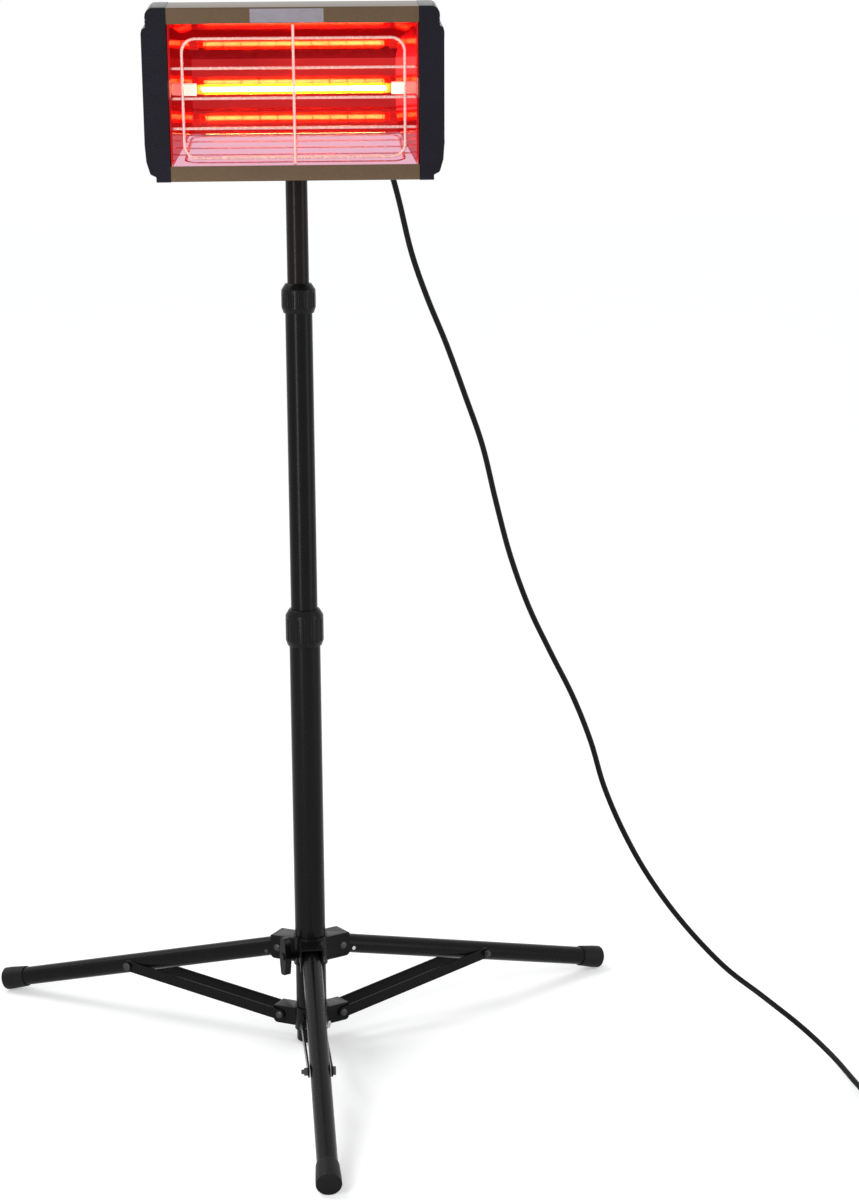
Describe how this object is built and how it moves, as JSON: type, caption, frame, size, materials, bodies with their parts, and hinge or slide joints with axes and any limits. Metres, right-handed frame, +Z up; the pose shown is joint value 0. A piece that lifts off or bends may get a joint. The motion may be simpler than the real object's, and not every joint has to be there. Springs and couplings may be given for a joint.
{
  "type": "infrared curing lamp on a tripod",
  "caption": "Infrared quartz heat lamp for curing paint, in a reflector housing with a wire guard, tilting on a telescoping mast with a folding tripod",
  "frame": {"origin": "on the mast's axis at floor level, 4 mm below the mast's end plug", "axes": "+Z up along the mast, the lamp faces -Y, +X to the right seen from the front"},
  "size_m": [1.0876, 0.6652, 1.1837],
  "materials": {
    "mast_paint": "satin black powder coat",
    "top_tube_paint": "satin dark brown-black",
    "black_plastic": "moulded, matt",
    "foot_rubber": "moulded, matt",
    "steel": "zinc plated",
    "dark_steel": "blackened",
    "housing_paint": "champagne, satin",
    "cap_plastic": "moulded, semi-gloss",
    "reflector_mirror": "polished sheet",
    "quartz": "clear quartz, glowing",
    "ceramic": "white ceramic",
    "filament": "glowing tungsten",
    "guard_chrome": "polished",
    "terminal_plastic": "moulded",
    "switch_red": "gloss",
    "cord_rubber": "smooth, satin",
    "plug_brass": "plain"
  },
  "bodies": {
    "mast_base": {"base_tube": "mast_paint", "mast_end_plug": "black_plastic", "lower_spider": "mast_paint", "spider_pins": "dark_steel", "spider_screw": "steel", "base_collet": "black_plastic"},
    "hub": {"hub_spider": "mast_paint", "hub_pins": "dark_steel"},
    "hub_knob": {"hub_wing_knob": "black_plastic"},
    "leg_arm_front": {"leg_tube_front": "mast_paint", "foot_cap_front": "foot_rubber", "leg_bolts_front": "steel"},
    "leg_arm_right": {"leg_tube_right": "mast_paint", "foot_cap_right": "foot_rubber", "leg_bolts_right": "steel"},
    "leg_arm_left": {"leg_tube_left": "mast_paint", "foot_cap_left": "foot_rubber", "leg_bolts_left": "steel"},
    "brace_arm_front": {"brace_front": "mast_paint", "brace_bolts_front": "dark_steel"},
    "brace_arm_right": {"brace_right": "mast_paint", "brace_bolts_right": "dark_steel"},
    "brace_arm_left": {"brace_left": "mast_paint", "brace_bolts_left": "dark_steel"},
    "lower_collar": {"lower_twist_collar": "black_plastic"},
    "mast_middle": {"mid_tube": "mast_paint", "mid_guide_sleeve": "black_plastic", "mid_collet": "black_plastic"},
    "upper_collar": {"upper_twist_collar": "black_plastic"},
    "mast_top": {"top_tube": "top_tube_paint", "top_guide_sleeve": "black_plastic"},
    "swivel": {"tilt_socket": "black_plastic", "tilt_bolt": "steel"},
    "socket_knob": {"socket_wing_screw": "black_plastic"},
    "tilt_knob": {"tilt_wing_nut": "black_plastic"},
    "head": {"tilt_bracket": "mast_paint", "housing_shell": "housing_paint", "left_end_cap": "cap_plastic", "right_end_cap": "cap_plastic", "housing_screws": "steel", "reflector": "reflector_mirror", "reflector_ends": "reflector_mirror", "lamp_holders": "ceramic", "lamp_glass": "quartz", "lamp_ends": "ceramic", "lamp_filament": "filament", "wire_guard": "guard_chrome", "junction_box": "black_plastic", "junction_cover": "black_plastic", "terminal_block": "terminal_plastic", "switch_frame": "black_plastic", "cable_gland": "black_plastic", "cord_boot": "cord_rubber", "cord_lead": "cord_rubber", "cord_coil": "cord_rubber", "coil_tie": "black_plastic", "plug_body": "cord_rubber", "plug_pins": "plug_brass"},
    "rocker": {"switch_rocker": "switch_red"}
  },
  "joints": [
    {"name": "hub_slide", "type": "slide", "parent": "mast_base", "child": "hub", "axis": [0, 0, 1], "range_m": [0, 0.335]},
    {"name": "leg_front_fold", "type": "hinge", "parent": "hub", "child": "leg_arm_front", "pos_m": [0.00148, -0.03697, 0.11316], "axis": [0.9992, 0.0401, 0], "range_deg": [0, 72]},
    {"name": "leg_right_fold", "type": "hinge", "parent": "hub", "child": "leg_arm_right", "pos_m": [0.03127, 0.01977, 0.11316], "axis": [-0.5344, 0.8453, 0], "range_deg": [0, 72]},
    {"name": "leg_left_fold", "type": "hinge", "parent": "hub", "child": "leg_arm_left", "pos_m": [-0.03276, 0.0172, 0.11316], "axis": [-0.4648, -0.8854, 0], "range_deg": [0, 72]},
    {"name": "brace_front_fold", "type": "hinge", "parent": "mast_base", "child": "brace_arm_front", "pos_m": [0.00145, -0.03597, 0.031], "axis": [-0.9992, -0.0401, 0], "range_deg": [0, 78]},
    {"name": "brace_right_fold", "type": "hinge", "parent": "mast_base", "child": "brace_arm_right", "pos_m": [0.03043, 0.01924, 0.031], "axis": [0.5344, -0.8453, 0], "range_deg": [0, 78]},
    {"name": "brace_left_fold", "type": "hinge", "parent": "mast_base", "child": "brace_arm_left", "pos_m": [-0.03187, 0.01673, 0.031], "axis": [0.4648, 0.8854, 0], "range_deg": [0, 78]},
    {"name": "hub_knob_turn", "type": "hinge", "parent": "hub", "child": "hub_knob", "pos_m": [-0.02536, -0.01603, 0.11116], "axis": [-0.8453, -0.5344, 0], "range_deg": [0, 360]},
    {"name": "lower_collar_turn", "type": "hinge", "parent": "mast_base", "child": "lower_collar", "pos_m": [0, 0, 0.496], "axis": [0, 0, 1], "range_deg": [0, 120]},
    {"name": "mid_slide", "type": "slide", "parent": "mast_base", "child": "mast_middle", "axis": [0, 0, 1], "range_m": [-0.332, 0.06]},
    {"name": "upper_collar_turn", "type": "hinge", "parent": "mast_middle", "child": "upper_collar", "pos_m": [0, 0, 0.866], "axis": [0, 0, 1], "range_deg": [0, 120]},
    {"name": "top_slide", "type": "slide", "parent": "mast_middle", "child": "mast_top", "axis": [0, 0, 1], "range_m": [-0.114, 0.15]},
    {"name": "head_swivel", "type": "hinge", "parent": "mast_top", "child": "swivel", "pos_m": [0, 0, 1.01], "axis": [0, 0, 1], "range_deg": [-170, 170]},
    {"name": "socket_knob_turn", "type": "hinge", "parent": "swivel", "child": "socket_knob", "pos_m": [0, 0.02, 1.01176], "axis": [0, 1, 0], "range_deg": [0, 360]},
    {"name": "tilt_knob_turn", "type": "hinge", "parent": "swivel", "child": "tilt_knob", "pos_m": [-0.018, 0, 1.06376], "axis": [-1, 0, 0], "range_deg": [0, 360]},
    {"name": "head_tilt", "type": "hinge", "parent": "swivel", "child": "head", "pos_m": [0, 0, 1.06376], "axis": [-1, 0, 0], "range_deg": [-20, 75]},
    {"name": "rocker_tip", "type": "hinge", "parent": "head", "child": "rocker", "pos_m": [0.077, 0.0022, 1.10019], "axis": [1, 0, 0], "range_deg": [-20, 0]}
  ],
  "couplings": [
    {"joint": "leg_front_fold", "follows": "hub_slide", "rad_per_m": 3.724},
    {"joint": "leg_right_fold", "follows": "hub_slide", "rad_per_m": 3.724},
    {"joint": "leg_left_fold", "follows": "hub_slide", "rad_per_m": 3.724},
    {"joint": "brace_front_fold", "follows": "hub_slide", "rad_per_m": 4.0376},
    {"joint": "brace_right_fold", "follows": "hub_slide", "rad_per_m": 4.0376},
    {"joint": "brace_left_fold", "follows": "hub_slide", "rad_per_m": 4.0376}
  ]
}
